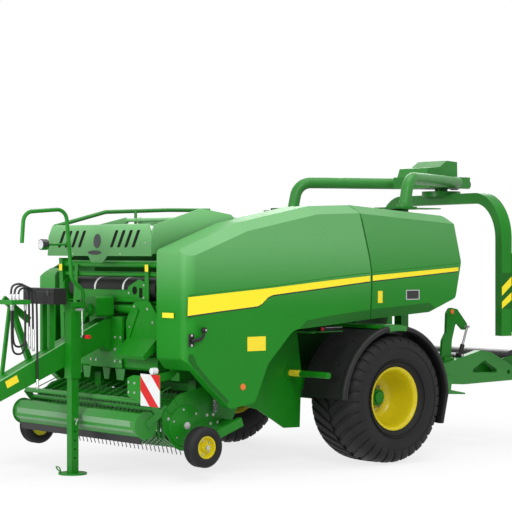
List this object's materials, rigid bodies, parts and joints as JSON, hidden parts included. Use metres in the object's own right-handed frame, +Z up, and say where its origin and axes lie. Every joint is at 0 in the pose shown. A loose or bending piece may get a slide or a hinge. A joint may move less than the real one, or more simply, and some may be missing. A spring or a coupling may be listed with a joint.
{
  "type": "round baler with bale wrapper",
  "caption": "Towed round baler with a bale wrapper behind it: pickup, pressing chamber with tailgate, tipping wrap table and turning film arms.",
  "frame": {"origin": "on the ground under the middle of the machine's length and width", "axes": "+X forward towards the hitch, +Y to the machine's left, +Z up"},
  "size_m": [7.076, 3, 2.9953],
  "materials": {
    "green_paint": "satin",
    "light_green_paint": "satin",
    "panel_green": "gloss",
    "yellow_paint": "gloss",
    "tyre_rubber": "matte",
    "black_plastic": "matte",
    "black_rubber": "matte",
    "worn_steel": "satin",
    "chrome_rod": "polished",
    "warning_white": "satin"
  },
  "bodies": {
    "chassis": {"chassis_frame": "green_paint", "axle_beam": "green_paint", "front_tower": "green_paint", "drawbar": "green_paint", "jack_sleeve": "green_paint", "gearbox": "green_paint", "chamber_wall_left": "green_paint", "chamber_wall_right": "green_paint", "front_rollers": "worn_steel", "feeder_housing": "green_paint", "roof_cover": "green_paint", "net_box": "green_paint", "drive_guard": "green_paint", "fender_left": "black_plastic", "fender_right": "black_plastic", "side_steps": "green_paint", "wrapper_chassis": "green_paint", "guide_arms": "green_paint", "overhead_frame": "green_paint", "head_cover": "green_paint", "head_motor": "green_paint", "right_roof_rail": "green_paint", "hinge_rod_left": "green_paint", "hinge_rod_right": "green_paint", "net_roll": "black_rubber", "hose_arch": "green_paint", "toolbox": "black_plastic", "hose_holder": "green_paint", "hazard_board": "warning_white", "hydraulic_hoses": "black_rubber", "jack_crank": "worn_steel"},
    "wheel_left": {"tyre_left": "tyre_rubber", "rim_left": "yellow_paint"},
    "wheel_right": {"tyre_right": "tyre_rubber", "rim_right": "yellow_paint"},
    "tailgate": {"tailgate": "green_paint", "gate_rollers": "worn_steel"},
    "gate_barrels": {"gate_barrels": "green_paint"},
    "gate_rods": {"gate_rods": "chrome_rod"},
    "pickup": {"pickup_frame": "green_paint", "crop_guard": "light_green_paint"},
    "pickup_reel": {"pickup_reel": "worn_steel"},
    "gauge_wheel_left": {"gauge_tyre_left": "tyre_rubber", "gauge_rim_left": "yellow_paint"},
    "gauge_wheel_right": {"gauge_tyre_right": "tyre_rubber", "gauge_rim_right": "yellow_paint"},
    "wrap_rotor": {"rotor_arms": "green_paint", "film_stretchers": "green_paint"},
    "wrap_table": {"table_frame": "green_paint", "table_rollers": "black_rubber"},
    "jack_leg": {"jack_leg": "green_paint"},
    "hood": {"hood": "panel_green"},
    "panels_left": {"panel_front_left": "panel_green", "panel_rear_left": "panel_green"},
    "panels_right": {"panel_front_right": "panel_green", "panel_rear_right": "panel_green"}
  },
  "joints": [
    {"name": "wheel_left_spin", "type": "hinge", "parent": "chassis", "child": "wheel_left", "pos_m": [-0.578, 1.185, 0.62], "axis": [0, 1, 0], "continuous": true},
    {"name": "wheel_right_spin", "type": "hinge", "parent": "chassis", "child": "wheel_right", "pos_m": [-0.578, -1.185, 0.62], "axis": [0, 1, 0], "continuous": true},
    {"name": "tailgate_open", "type": "hinge", "parent": "chassis", "child": "tailgate", "pos_m": [-0.318, 0, 2.3], "axis": [0, 1, 0], "range_deg": [0, 58]},
    {"name": "gate_barrel_swing", "type": "hinge", "parent": "chassis", "child": "gate_barrels", "pos_m": [-0.378, 0, 1.85], "axis": [0, 1, 0], "range_deg": [0, 27.93]},
    {"name": "gate_rod_slide", "type": "slide", "parent": "gate_barrels", "child": "gate_rods", "axis": [-0.717, 0, 0.6971], "range_m": [0, 0.3007]},
    {"name": "pickup_lift", "type": "hinge", "parent": "chassis", "child": "pickup", "pos_m": [0.982, 0, 0.76], "axis": [0, 1, 0], "range_deg": [0, 10.5]},
    {"name": "pickup_reel_spin", "type": "hinge", "parent": "pickup", "child": "pickup_reel", "pos_m": [1.607, 0, 0.47], "axis": [0, 1, 0], "continuous": true},
    {"name": "gauge_wheel_left_spin", "type": "hinge", "parent": "pickup", "child": "gauge_wheel_left", "pos_m": [1.648, 1.32, 0.306], "axis": [0, 1, 0], "continuous": true},
    {"name": "gauge_wheel_right_spin", "type": "hinge", "parent": "pickup", "child": "gauge_wheel_right", "pos_m": [1.648, -1.32, 0.306], "axis": [0, 1, 0], "continuous": true},
    {"name": "wrap_rotor_spin", "type": "hinge", "parent": "chassis", "child": "wrap_rotor", "pos_m": [-2.698, 0, 2.58], "axis": [0, 0, 1], "continuous": true},
    {"name": "wrap_table_tip", "type": "hinge", "parent": "chassis", "child": "wrap_table", "pos_m": [-2.908, 0, 0.74], "axis": [0, -1, 0], "range_deg": [0, 26]},
    {"name": "jack_slide", "type": "slide", "parent": "chassis", "child": "jack_leg", "axis": [0, 0, 1], "range_m": [0, 0.34]},
    {"name": "hood_open", "type": "hinge", "parent": "chassis", "child": "hood", "pos_m": [0.922, 0, 2.33], "axis": [0, -1, 0], "range_deg": [0, 50]},
    {"name": "panels_left_open", "type": "hinge", "parent": "chassis", "child": "panels_left", "pos_m": [-0.49035, 0.839, 2.425], "axis": [1, 0, 0], "range_deg": [0, 62]},
    {"name": "panels_right_open", "type": "hinge", "parent": "chassis", "child": "panels_right", "pos_m": [-0.298, -0.884, 2.212], "axis": [-1, 0, 0], "range_deg": [0, 62]}
  ],
  "couplings": [
    {"joint": "gate_barrel_swing", "follows": "tailgate_open", "ratio": 0.4763},
    {"joint": "gate_rod_slide", "follows": "tailgate_open", "m_per_rad": 0.28715}
  ]
}
